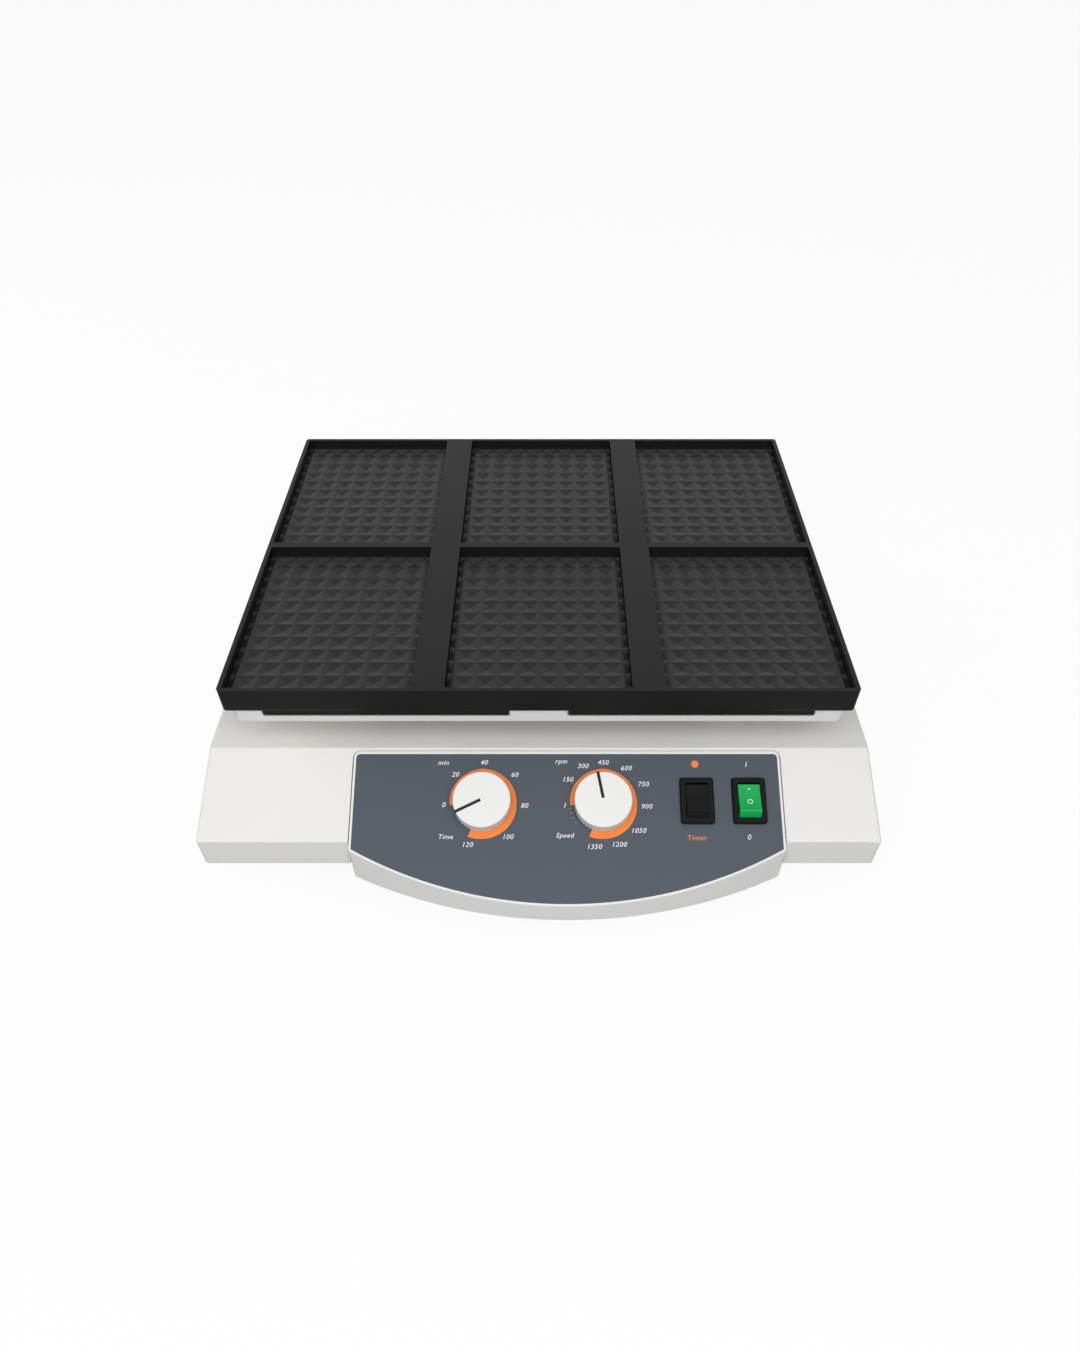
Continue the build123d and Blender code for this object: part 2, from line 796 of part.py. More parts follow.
def make_tray_screws():
    flip = Rot(180, 0, 0)
    low = plate_top_z - plate_web
    length = plate_web + tray_boss_height - 2
    return [
        pan_head_screw(small_screw_d - 2 * seat_gap, small_head_d, small_head, length, Pos(x, y, low) * flip)
        for x, y in tray_screw_places()
    ]


def make_potentiometer(x):
    body = on_slope(x, dial_u, -console_wall) * Cylinder(
        pot_body_d / 2, pot_body_length, align=(Align.CENTER, Align.CENTER, Align.MAX)
    )
    length = console_wall + pot_nut_height + 0.6
    body += on_slope(x, dial_u, -console_wall) * Cylinder(
        pot_bushing_d / 2, length, align=(Align.CENTER, Align.CENTER, Align.MIN)
    )
    tail = pot_body_d / 2 + 3
    body += on_slope(x, dial_u + tail / 2, -console_wall - pot_body_length / 2) * Box(pot_body_d * 0.7, tail, 1.6)
    depth = console_wall + pot_body_length - 2
    body -= on_slope(x, dial_u, -depth) * Cylinder(
        pot_shaft_d / 2 + shaft_gap, depth + 10, align=(Align.CENTER, Align.CENTER, Align.MIN)
    )
    return body


def make_potentiometer_nuts():
    nuts = []
    for x in dial_xs().values():
        nut = extrude(RegularPolygon(pot_nut_width / 2, 6, major_radius=False), pot_nut_height)
        nut -= Cylinder(pot_bushing_d / 2 + seat_gap, 10)
        nuts.append(on_slope(x, dial_u, 0) * nut)
    return nuts


def make_knob_shaft(x):
    low = -(console_wall + pot_body_length - 2.5)
    high = knob_lift + knob_height - 2.0
    return on_slope(x, dial_u, low) * Cylinder(
        pot_shaft_d / 2, high - low, align=(Align.CENTER, Align.CENTER, Align.MIN)
    )


def pointer_bar(angle, gap):
    """The pointer's body in the knob's own frame, grown by a gap for its groove."""
    radius = knob_d / 2 + pointer_proud
    top = knob_lift + knob_height + pointer_proud
    width = pointer_width + 2 * gap
    flat = Box(radius - pointer_start + gap, width, pointer_depth + gap + pointer_proud,
               align=(Align.MIN, Align.CENTER, Align.MAX))
    leg = Box(pointer_depth + gap + pointer_proud, width, pointer_drop + gap + pointer_proud,
              align=(Align.MAX, Align.CENTER, Align.MAX))
    bar = Pos(pointer_start - gap, 0, top) * flat + Pos(radius, 0, top) * leg
    return Rot(0, 0, angle) * bar


def make_knob(x, angle):
    radius = knob_d / 2
    points = []
    for i in range(2 * knob_flutes):
        reach = radius - (knob_flute_depth if i % 2 else 0.0)
        turn = math.pi * i / knob_flutes
        points.append((reach * math.cos(turn), reach * math.sin(turn)))
    knob = Pos(0, 0, knob_lift) * extrude(Polygon(*points, align=None), knob_height - knob_cap)
    cap = Pos(0, 0, knob_lift + knob_height - knob_cap) * Cylinder(
        radius, knob_cap, align=(Align.CENTER, Align.CENTER, Align.MIN)
    )
    knob += fillet(cap.edges().group_by(Axis.Z)[-1], knob_edge)
    knob -= Cylinder(knob_hollow_d / 2, 2 * (knob_lift + knob_hollow))
    knob -= Cylinder(pot_shaft_d / 2 + seat_gap, 2 * (knob_lift + knob_height - 2.0))
    knob -= pointer_bar(angle, seat_gap)
    return on_slope(x, dial_u) * knob


def make_pointer(x, angle):
    return on_slope(x, dial_u) * pointer_bar(angle, 0.0)


def make_switch_frame(x):
    frame = extrude(
        RectangleRounded(switch_frame_width, switch_frame_length, switch_frame_corner), switch_frame_height
    )
    frame = chamfer(frame.edges().group_by(Axis.Z)[-1], switch_frame_bevel)
    frame += Box(switch_body_width, switch_body_length, switch_body_depth,
                 align=(Align.CENTER, Align.CENTER, Align.MAX))
    cavity = rocker_belly + 1.2
    frame -= Pos(0, 0, -cavity) * Box(
        rocker_width + 2 * rocker_side_gap, 2 * (rocker_half_base + rocker_end_gap), cavity + 10,
        align=(Align.CENTER, Align.CENTER, Align.MIN),
    )
    frame -= Rot(0, 90, 0) * Cylinder(rocker_pin_d / 2 + shaft_gap, rocker_width + 2 * rocker_pin + 0.2)
    for side in (-1, 0, 1):
        frame += Pos(0, side * switch_body_length / 3, -switch_body_depth - 3) * Box(4.8, 0.8, 7)
    return on_slope(x, switch_u) * frame


def make_rocker(x):
    top = ThreePointArc(
        (-rocker_half_top, rocker_top), (0, rocker_top - rocker_dip), (rocker_half_top, rocker_top)
    )
    rest = Polyline(
        (rocker_half_top, rocker_top), (rocker_half_base, -rocker_base), (rocker_half_base / 3, -rocker_belly),
        (-rocker_half_base / 3, -rocker_belly), (-rocker_half_base, -rocker_base), (-rocker_half_top, rocker_top),
    )
    side = make_face(Wire([top] + rest.edges()))
    side = fillet(side.vertices().group_by(Axis.Y)[-1], rocker_edge)
    side = Plane.YZ.offset(-rocker_width / 2) * side
    rocker = extrude(side, rocker_width)
    rocker += Rot(0, 90, 0) * Cylinder(rocker_pin_d / 2, rocker_width + 2 * rocker_pin)
    return on_slope(x, switch_u) * Rot(-rocker_tilt, 0, 0) * rocker


def screw_circle(radius, count, x, y, start=45.0):
    """Evenly spaced places on a circle."""
    turns = [math.radians(start + 360.0 * i / count) for i in range(count)]
    return [(x + radius * math.cos(t), y + radius * math.sin(t)) for t in turns]


def bracket_screw_places():
    reach = bracket_width / 2 + bracket_flange / 2
    return [(motor_x + sx * reach, crank_y + sy * bracket_width / 3) for sx in (-1, 1) for sy in (-1, 1)]


def carrier_places():
    return {name: (x, y - eccentricity) for name, (x, y) in idler_places().items()}


def make_chassis_plate():
    depth = chassis_front + chassis_rear
    middle = table_y + (chassis_rear - chassis_front) / 2
    plate = rounded_block(chassis_width, depth, chassis_z, chassis_top_z, chassis_corner, 0, middle)
    plate -= rod(main_barrel_d + 2 * hole_gap, chassis_z - 1, chassis_top_z + 1, 0, crank_y)
    plate -= rod(motor_d + 2, chassis_z - 1, chassis_top_z + 1, motor_x, crank_y)
    for x, y in carrier_places().values():
        plate -= rod(2 * idler_bore, chassis_z - 1, chassis_top_z + 1, x, y)
    drilled = pillar_places() + bracket_screw_places() + screw_circle(main_screw_r, 4, 0, crank_y)
    for x, y in carrier_places().values():
        drilled += screw_circle(carrier_screw_r, 3, x, y, 90.0)
    for x, y in drilled:
        plate -= rod(screw_d + 2 * seat_gap, chassis_z - 1, chassis_top_z + 1, x, y)
    return plate


def make_chassis_pillars():
    pillars = []
    for x, y in pillar_places():
        pillar = rod(pillar_width, pan_floor_z, chassis_z, x, y)
        pillar -= rod(screw_d + 2 * seat_gap, pan_floor_z - 1, chassis_z + 1, x, y)
        pillars.append(pillar)
    return pillars


def make_chassis_screws():
    flip = Rot(180, 0, 0)
    screws = []
    spots = []
    for x, y in pillar_places():
        spots.append((Pos(x, y, chassis_top_z), chassis_thickness + 8))
        spots.append((Pos(x, y, pan_z) * flip, pan_wall + 8))
    for x, y in screw_circle(main_screw_r, 4, 0, crank_y):
        spots.append((Pos(x, y, chassis_top_z + main_flange), main_flange + chassis_thickness))
    for x, y in carrier_places().values():
        for sx, sy in screw_circle(carrier_screw_r, 3, x, y, 90.0):
            spots.append((Pos(sx, sy, chassis_top_z + carrier_flange), carrier_flange + chassis_thickness))
    for x, y in bracket_screw_places():
        spots.append((Pos(x, y, chassis_z - bracket_wall) * flip, bracket_wall + chassis_thickness))
    for place, length in spots:
        screws.append(pan_head_screw(screw_d, screw_head_d, screw_head, length, place))
    return screws


def make_main_bearing_housing():
    low = chassis_z - main_barrel_drop
    high = chassis_top_z + main_barrel_top
    body = rod(main_barrel_d, low, high, 0, crank_y)
    body += rod(main_flange_d, chassis_top_z, chassis_top_z + main_flange, 0, crank_y)
    body -= rod(main_bearing_od - 4, low - 1, high + 1, 0, crank_y)
    body -= rod(main_bearing_od + 2 * seat_gap, low - 1, main_low_z + main_bearing_width, 0, crank_y)
    body -= rod(main_bearing_od + 2 * seat_gap, main_high_z, high + 1, 0, crank_y)
    for x, y in screw_circle(main_screw_r, 4, 0, crank_y):
        body -= rod(screw_d + 2 * hole_gap, chassis_top_z - 1, chassis_top_z + main_flange + 1, x, y)
    return body


def make_idler_carrier(x, y):
    top = deck_z + carrier_top_gap
    body = rod(carrier_barrel_d, chassis_top_z, top, x, y)
    body += rod(carrier_flange_d, chassis_top_z, chassis_top_z + carrier_flange, x, y)
    body -= rod(idler_bearing_od - 3, chassis_top_z - 1, top + 1, x, y)
    body -= rod(idler_bearing_od + 2 * seat_gap, chassis_top_z - 1, chassis_top_z + idler_bearing_width, x, y)
    body -= rod(idler_bearing_od + 2 * seat_gap, idler_high_z, top + 1, x, y)
    for sx, sy in screw_circle(carrier_screw_r, 3, x, y, 90.0):
        body -= rod(screw_d + 2 * hole_gap, chassis_top_z - 1, chassis_top_z + carrier_flange + 1, sx, sy)
    return body


def make_bearing_outer_rings():
    rings = []
    for z in (main_low_z, main_high_z):
        rings.append(bearing(main_bore, main_bearing_od, main_bearing_width, z, 0, crank_y, "outer"))
    for x, y in carrier_places().values():
        for z in (chassis_top_z, idler_high_z):
            rings.append(bearing(idler_bore, idler_bearing_od, idler_bearing_width, z, x, y, "outer"))
    return rings


def make_crank_inner_rings():
    rings = []
    for z in (main_low_z, main_high_z):
        rings.append(bearing(main_bore, main_bearing_od, main_bearing_width, z, 0, crank_y, "inner"))
    rings.append(bearing(pin_bore, pin_bearing_od, pin_bearing_width, pin_seat_z, 0, table_y, "inner"))
    return rings


def make_table_bearing_rings():
    rings = [bearing(pin_bore, pin_bearing_od, pin_bearing_width, pin_seat_z, 0, table_y, "outer")]
    for x, y in idler_places().values():
        rings.append(bearing(idler_bore, idler_bearing_od, idler_bearing_width, idler_seat_z, x, y, "outer"))
    return rings


def make_crank_shaft():
    shaft = rod(main_bore, pulley_low_z - 1.5, main_high_z + main_bearing_width, 0, crank_y)
    shaft += rod(crank_hub_d, main_high_z + main_bearing_width, pin_seat_z, 0, crank_y)
    shaft += rod(slinger_d, deck_z + slinger_lift, deck_z + slinger_lift + slinger, 0, crank_y)
    shaft += rod(pin_bore, pin_seat_z, pin_seat_z + pin_bearing_width, 0, table_y)
    return shaft


def make_idler_crank(x, y):
    """An idler with its lower end on the carrier's axis and its upper pin on the table's."""
    low_y = y - eccentricity
    neck = idler_high_z + idler_bearing_width
    crank = rod(idler_bore, chassis_top_z - 1, neck, x, low_y)
    crank += rod(idler_collar_d, neck, idler_seat_z, x, low_y)
    crank += rod(idler_bore, idler_seat_z, idler_seat_z + idler_bearing_width, x, y)
    race = (idler_bore + idler_bearing_od) / 2 - race_gap
    for z, ring_y in ((chassis_top_z, low_y), (idler_high_z, low_y), (idler_seat_z, y)):
        crank += tube(race, idler_bore - 1, z, z + idler_bearing_width, x, ring_y)
    return crank


def make_counterweight():
    low = main_high_z + main_bearing_width + 3.5
    high = low + weight_thickness
    weight = rod(2 * weight_radius, low, high, 0, crank_y)
    weight -= block(2 * weight_radius + 2, weight_radius + 2, low - 1, high + 1, 0, crank_y + weight_radius / 2 + 1)
    weight += rod(weight_hub_d, low, high, 0, crank_y)
    weight -= rod(crank_hub_d + 2 * seat_gap, low - 1, high + 1, 0, crank_y)
    return weight


def pulley_tip(teeth):
    return teeth * belt_pitch / (2 * math.pi) - 0.38


def make_pulley(teeth, bore, hub_d, hub_top, x):
    tip = pulley_tip(teeth)
    step = 2 * math.pi / teeth
    points = []
    for i in range(teeth):
        for part, reach in ((-0.3, tip - tooth_depth), (-0.2, tip), (0.2, tip), (0.3, tip - tooth_depth)):
            turn = (i + part) * step
            points.append((reach * math.cos(turn), reach * math.sin(turn)))
    low = pulley_low_z
    high = low + pulley_width + 2 * pulley_flange
    wheel = Pos(x, crank_y, low) * extrude(Polygon(*points, align=None), high - low)
    rim = 2 * (tip + pulley_flange_rise)
    wheel += rod(rim, low, low + pulley_flange, x, crank_y)
    wheel += rod(rim, high - pulley_flange, high, x, crank_y)
    if hub_top > high:
        wheel += rod(hub_d, high, hub_top, x, crank_y)
    wheel -= rod(bore + 2 * seat_gap, low - 1, max(high, hub_top) + 1, x, crank_y)
    return wheel


def belt_face(grow):
    """The area inside the belt's loop round both pulleys."""
    small = pulley_tip(motor_teeth) + belt_clearance + grow
    large = pulley_tip(driven_teeth) + belt_clearance + grow
    lean = math.acos((large - small) / abs(motor_x))
    corners = []
    for x, radius, side in ((0, large, 1), (motor_x, small, 1), (motor_x, small, -1), (0, large, -1)):
        corners.append((x - radius * math.cos(lean), side * radius * math.sin(lean)))
    return Circle(large) + Pos(motor_x, 0) * Circle(small) + Polygon(*corners, align=None)


def make_drive_belt():
    low = pulley_low_z + pulley_flange + (pulley_width - belt_width) / 2
    loop = belt_face(belt_thickness) - belt_face(0.0)
    return Pos(0, crank_y, low) * extrude(loop, belt_width)


def make_motor_bracket():
    low = chassis_z - bracket_drop
    shelf = low + bracket_wall
    bracket = block(bracket_width, bracket_width, low, shelf, motor_x, crank_y)
    for side in (-1, 1):
        wall_x = motor_x + side * (bracket_width / 2 - bracket_wall / 2)
        bracket += block(bracket_wall, bracket_width, low, chassis_z, wall_x, crank_y)
        ear_x = motor_x + side * (bracket_width / 2 + bracket_flange / 2)
        bracket += block(bracket_flange, bracket_width, chassis_z - bracket_wall, chassis_z, ear_x, crank_y)
    bracket -= rod(motor_boss_d + 2 * hole_gap, low - 1, shelf + 1, motor_x, crank_y)
    for x, y in bracket_screw_places():
        bracket -= rod(screw_d + 2 * hole_gap, chassis_z - bracket_wall - 1, chassis_z + 1, x, y)
    return bracket


def make_drive_motor():
    low = chassis_z - bracket_drop + bracket_wall
    motor = rod(motor_d, low, low + motor_length, motor_x, crank_y)
    motor = fillet(motor.edges(), 1.5)
    motor += rod(motor_boss_d, low - motor_boss, low + 1, motor_x, crank_y)
    motor -= rod(motor_shaft_d + 2 * shaft_gap, low - motor_boss - 1, low + motor_length - 4, motor_x, crank_y)
    return motor


def make_motor_shaft():
    low = chassis_z - bracket_drop + bracket_wall
    return rod(motor_shaft_d, pulley_low_z - 0.5, low + motor_length - 4.5, motor_x, crank_y)


def standoff_places():
    reach_x = board_width / 2 - 5
    reach_y = board_length / 2 - 5
    return [(board_x + sx * reach_x, board_y + sy * reach_y) for sx in (-1, 1) for sy in (-1, 1)]


def make_board_standoffs():
    low = pan_floor_z + standoff_height
    posts = []
    for x, y in standoff_places():
        post = rod(standoff_d, pan_floor_z, low, x, y)
        post += rod(small_screw_d - 0.1, pan_z, low + board_thickness, x, y)
        post += rod(small_screw_d + 1.2, low + board_thickness, low + board_thickness + 1.4, x, y)
        posts.append(post)
    return posts


def make_control_board():
    low = pan_floor_z + standoff_height
    board = block(board_width, board_length, low, low + board_thickness, board_x, board_y)
    for x, y in standoff_places():
        board -= rod(small_screw_d + 2 * hole_gap, low - 1, low + board_thickness + 1, x, y)
    return board


def make_board_components():
    low = pan_floor_z + standoff_height + board_thickness
    items = []
    for i in range(4):
        items.append(rod(10.0, low, low + 13, board_x - 27 + 14 * i, board_y + 38))
    for i in range(2):
        items.append(block(16, 20, low, low + 12, board_x - 20 + 24 * i, board_y + 8))
    sink = block(46, 16, low, low + 3, board_x, board_y - 22)
    for i in range(6):
        sink += block(2, 16, low, low + 13, board_x - 20 + 8 * i, board_y - 22)
    items.append(sink)
    items.append(block(50, 9, low, low + 10, board_x, board_y - 42))
    return items


def make_mains_transformer():
    half, front, rear = pan_span()
    y = rear - pan_wall - 2 - transformer_depth / 2
    low = pan_floor_z
    body = block(transformer_width, transformer_depth / 2, low, low + transformer_height, transformer_x, y)
    body += rounded_block(transformer_width * 0.66, transformer_depth, low + 8, low + transformer_height - 8,
                          3, transformer_x, y)
    body += block(transformer_width + 16, transformer_depth / 2, low, low + 1.5, transformer_x, y)
    return body


def socket_face():
    """The appliance inlet's opening with its two cut corners at the top."""
    face = Rectangle(socket_width, socket_height)
    return chamfer(face.vertices().group_by(Axis.Y)[-1], socket_chamfer)


def pin_places():
    """The three pins, line and neutral low and earth high in the middle, on the inlet's seat."""
    return [(-pin_spacing, -pin_offset), (0.0, pin_offset), (pin_spacing, -pin_offset)]


def make_mains_inlet():
    floor = inlet_flange - socket_depth
    inlet = extrude(RectangleRounded(inlet_flange_width, inlet_flange_height, 3), inlet_flange)
    inlet += Box(inlet_body_width, inlet_body_height, inlet_body_depth, align=(Align.CENTER, Align.CENTER, Align.MAX))
    inlet -= Pos(0, socket_z, floor) * extrude(socket_face(), 30)
    for x, z in pin_places():
        inlet -= Pos(x, socket_z + z, floor - 10) * Box(pin_width, pin_height, 25)
    for side in (-1, 1):
        inlet -= Pos(side * inlet_screw_spacing / 2, 0, 0) * Cylinder(small_screw_d / 2 + hole_gap, 10)
    bay = drawer_depth + drawer_gap
    inlet -= Pos(0, drawer_z, inlet_flange - bay) * Box(
        drawer_width + 2 * drawer_gap, drawer_height + 2 * drawer_gap, bay + 5,
        align=(Align.CENTER, Align.CENTER, Align.MIN),
    )
    return on_inlet(0, 0) * inlet


def make_inlet_pins():
    low = inlet_flange - socket_depth - 10
    length = pin_length + 10
    pins = []
    for x, z in pin_places():
        pin = Box(pin_width, pin_height, length, align=(Align.CENTER, Align.CENTER, Align.MIN))
        pin = chamfer(pin.edges().group_by(Axis.Z)[-1], 0.4)
        pins.append(on_inlet(x, socket_z + z, low) * pin)
    return pins


def make_inlet_screws():
    return [
        pan_head_screw(small_screw_d, small_head_d, small_head, 8.0,
                       on_inlet(side * inlet_screw_spacing / 2, 0, inlet_flange))
        for side in (-1, 1)
    ]


def make_fuse_drawer():
    drawer = Box(drawer_width, drawer_height, drawer_depth, align=(Align.CENTER, Align.CENTER, Align.MAX))
    drawer -= Pos(0, drawer_height / 2, -1.5) * Box(
        drawer_width - 2, 2 * (drawer_height - 1.2), drawer_depth - 3,
        align=(Align.CENTER, Align.CENTER, Align.MAX),
    )
    lid = Box(drawer_width + 2, drawer_height + 1.6, drawer_lid, align=(Align.CENTER, Align.CENTER, Align.MIN))
    lid -= Pos(0, -drawer_height / 2 - 0.8, drawer_lid / 2) * Box(8, 2, drawer_lid)
    return on_inlet(0, drawer_z, inlet_flange) * (drawer + lid)


parts = {
    "platform_tray": make_tray(),
    "carrier_plate": make_carrier_plate(),
    "tray_screws": make_tray_screws(),
    "table_bearing_rings": make_table_bearing_rings(),
    "housing_shell": make_housing_shell(),
    "console_housing": make_console_housing(),
    "console_screws": make_console_screws(),
    "panel_label": make_panel_label(),
    "potentiometer_nuts": make_potentiometer_nuts(),
    "base_pan": make_base_pan(),
    "rubber_feet": make_rubber_feet(),
    "foot_screws": make_foot_screws(),
    "pan_screws": make_pan_screws(),
    "chassis_plate": make_chassis_plate(),
    "chassis_pillars": make_chassis_pillars(),
    "chassis_screws": make_chassis_screws(),
    "main_bearing_housing": make_main_bearing_housing(),
    "bearing_outer_rings": make_bearing_outer_rings(),
    "crank_shaft": make_crank_shaft(),
    "crank_inner_rings": make_crank_inner_rings(),
    "counterweight": make_counterweight(),
    "driven_pulley": make_pulley(driven_teeth, main_bore, crank_hub_d, main_low_z, 0.0),
    "motor_pulley": make_pulley(motor_teeth, motor_shaft_d, 0.0, 0.0, motor_x),
    "motor_shaft": make_motor_shaft(),
    "drive_belt": make_drive_belt(),
    "drive_motor": make_drive_motor(),
    "motor_bracket": make_motor_bracket(),
    "control_board": make_control_board(),
    "board_components": make_board_components(),
    "board_standoffs": make_board_standoffs(),
    "mains_transformer": make_mains_transformer(),
    "mains_inlet": make_mains_inlet(),
    "inlet_pins": make_inlet_pins(),
    "inlet_screws": make_inlet_screws(),
    "fuse_drawer": make_fuse_drawer(),
}

mat = make_mat()
for name, (mat_x, mat_y) in zip(mat_names, nest_centres()):
    parts["mat_" + name] = Pos(mat_x, mat_y, nest_floor_z) * mat

for name, (idler_at_x, idler_at_y) in idler_places().items():
    parts["idler_crank_" + name] = make_idler_crank(idler_at_x, idler_at_y)
    parts["idler_carrier_" + name] = make_idler_carrier(idler_at_x, idler_at_y - eccentricity)

pointer_angles = {"timer": timer_pointer_angle, "speed": speed_pointer_angle}
for name, dial_x in dial_xs().items():
    parts[name + "_potentiometer"] = make_potentiometer(dial_x)
    parts[name + "_shaft"] = make_knob_shaft(dial_x)
    parts[name + "_knob"] = make_knob(dial_x, pointer_angles[name])
    parts[name + "_pointer"] = make_pointer(dial_x, pointer_angles[name])

for name, switch_x in switch_xs().items():
    parts[name + "_switch_frame"] = make_switch_frame(switch_x)
    parts[name + "_rocker"] = make_rocker(switch_x)

os.makedirs("parts", exist_ok=True)
for name, shape in parts.items():
    solids = shape if isinstance(shape, list) else [shape]
    bodies = [solid for item in solids for solid in item.solids()]
    whole = bodies[0] if len(bodies) == 1 else Compound(children=bodies)
    export_step(whole, "parts/" + name + ".step")
print(len(parts), "parts")
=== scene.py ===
# %% [markdown]
# # A platform shaker, dressed for the picture
# The solids come from the construction model and never change here. This lesson gives each of them
# a finish, adds the print on the console, and sets up a camera, a floor and soft lamps.
# Lengths are in metres, in the same frame as the solids. The print's places and sizes are the one
# exception: they are in millimetres, measured across the slope and down from its top edge.

import math

import bmesh
import bpy
from mathutils import Matrix, Vector


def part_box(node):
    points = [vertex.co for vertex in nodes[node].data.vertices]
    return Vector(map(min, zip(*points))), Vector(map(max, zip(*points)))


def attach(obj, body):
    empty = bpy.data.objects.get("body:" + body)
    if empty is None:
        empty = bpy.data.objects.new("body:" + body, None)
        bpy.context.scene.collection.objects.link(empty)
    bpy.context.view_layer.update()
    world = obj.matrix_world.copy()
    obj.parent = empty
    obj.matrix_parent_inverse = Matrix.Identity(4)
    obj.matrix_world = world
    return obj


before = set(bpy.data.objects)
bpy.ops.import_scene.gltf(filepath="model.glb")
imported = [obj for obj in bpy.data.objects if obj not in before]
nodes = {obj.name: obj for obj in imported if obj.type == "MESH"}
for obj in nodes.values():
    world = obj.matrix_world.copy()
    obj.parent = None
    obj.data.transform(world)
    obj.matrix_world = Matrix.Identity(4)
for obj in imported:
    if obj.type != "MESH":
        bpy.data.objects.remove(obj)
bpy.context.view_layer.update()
scene = bpy.context.scene

# %% [markdown]
# ## The camera
# A photograph keeps its lens and its viewpoint in the way straight edges run together. The tray's
# corners were measured in the picture, and this lens, tilt and place put the tray's corners back
# there. The shift is small: it only says that the picture was cropped a little off centre.

# %% Camera
film_side = 36.0        # millimetres, the film's longer side
picture_side = 1350     # pixels, the photograph's longer side
focal_length = 1229.5   # pixels
off_centre = -7.6       # pixels
look_down = 36.06       # degrees below level
beside_middle, before_tray, above_tray = 0.00417, 0.4514, 0.3377

tray_low, tray_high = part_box("platform_tray")
eye = bpy.data.cameras.new("eye")
eye.sensor_width = film_side
eye.lens = focal_length / picture_side * film_side
eye.shift_x = off_centre / picture_side
eye.clip_start, eye.clip_end = 0.01, 20.0
camera = bpy.data.objects.new("camera", eye)
camera.location = (beside_middle, tray_low.y - before_tray, tray_high.z + above_tray)
camera.rotation_euler = (math.radians(90 - look_down), 0, 0)
scene.collection.objects.link(camera)
scene.camera = camera
print("camera at", [round(v, 3) for v in camera.location], "lens", round(eye.lens, 2))

# %% [markdown]
# ## World and lamps
# The object stands on a white sweep in a bright room. A world colour gives light from all round,
# and large area lamps give it a direction: most of it comes from above and in front, so the sloped
# front is the brightest face. The camera sees the world as white, and mirror-like rays see it paler
# than it lights. That gives the black tray its sheen and leaves the soft light on the object alone.


# %% What a ray sees
def maths(tree, operation, a, b):
    """A Math node whose inputs are numbers or other nodes' outputs."""
    node = tree.nodes.new("ShaderNodeMath")
    node.operation = operation
    for slot, value in zip(node.inputs, (a, b)):
        if isinstance(value, (int, float)):
            slot.default_value = value
        else:
            tree.links.new(value, slot)
    return node.outputs[0]


def white_share(tree, straight_part, mirror_part):
    """How white a ray sees the background: one part straight or through glass, one mirrored."""
    ray = tree.nodes.new("ShaderNodeLightPath").outputs
    straight = maths(tree, "MAXIMUM", ray["Is Camera Ray"], ray["Is Transmission Ray"])
    straight = maths(tree, "MULTIPLY", straight, straight_part)
    mirrored = maths(tree, "MULTIPLY", ray["Is Glossy Ray"], mirror_part)
    return maths(tree, "MAXIMUM", straight, mirrored)


# %% World
room_strength = 0.33
room_straight_part, room_mirror_part = 1.0, 0.55

world = bpy.data.worlds.new("bright_room")
world.use_nodes = True
scene.world = world
room = world.node_tree
room.nodes.clear()
room_out = room.nodes.new("ShaderNodeOutputWorld")
seen_white = room.nodes.new("ShaderNodeBackground")
seen_white.inputs["Color"].default_value = (1, 1, 1, 1)
seen_white.inputs["Strength"].default_value = 1.0
room_light = room.nodes.new("ShaderNodeBackground")
room_light.inputs["Color"].default_value = (0.98, 0.99, 1.0, 1)
room_light.inputs["Strength"].default_value = room_strength
choose = room.nodes.new("ShaderNodeMixShader")
room.links.new(white_share(room, room_straight_part, room_mirror_part), choose.inputs[0])
room.links.new(room_light.outputs[0], choose.inputs[1])
room.links.new(seen_white.outputs[0], choose.inputs[2])
room.links.new(choose.outputs[0], room_out.inputs["Surface"])
print("world strength", room_strength)

# %% Lamps
lamp_aim = Vector((0, 0, 0.05))
panels = [
    # name, place, width, height, watts
    ("sky_panel", (0.0, -0.75, 1.25), 1.6, 0.7, 2.5),
    ("front_panel", (0.0, -1.2, 1.0), 1.5, 0.8, 15.0),
    ("left_panel", (-1.2, 0.5, 0.75), 0.6, 0.6, 3.5),
]
for name, place, width, height, power in panels:
    lamp = bpy.data.lights.new(name, "AREA")
    lamp.shape = "RECTANGLE"
    lamp.size, lamp.size_y, lamp.energy = width, height, power
    holder = bpy.data.objects.new(name, lamp)
    holder.location = place
    holder.rotation_euler = (lamp_aim - Vector(place)).to_track_quat("-Z", "Y").to_euler()
    scene.collection.objects.link(holder)

# %% [markdown]
# ## Node groups: effects that the finishes share
# A shader node group is a small machine with named inputs. Each finish places the same machine and
# sets its own values, so a change here reaches every surface. The first gives a moulded or sprayed
# surface its fine grain; the second lets a colour drift a little, as real plastic and paint do.


# %% Group: fine grain
def new_group(name, ins, outs):
    """An empty node group with its sockets, and its input and output nodes."""
    group = bpy.data.node_groups.new(name, "ShaderNodeTree")
    for label, kind, value in ins:
        socket = group.interface.new_socket(label, in_out="INPUT", socket_type=kind)
        socket.default_value = value
    for label, kind in outs:
        group.interface.new_socket(label, in_out="OUTPUT", socket_type=kind)
    return group, group.nodes.new("NodeGroupInput"), group.nodes.new("NodeGroupOutput")


def noise(group, scale, detail):
    """A noise that sticks to the object, as a value from 0 to 1."""
    place = group.nodes.new("ShaderNodeTexCoord")
    texture = group.nodes.new("ShaderNodeTexNoise")
    texture.inputs["Detail"].default_value = detail
    group.links.new(place.outputs["Object"], texture.inputs["Vector"])
    group.links.new(scale, texture.inputs["Scale"])
    return texture.outputs["Fac"]


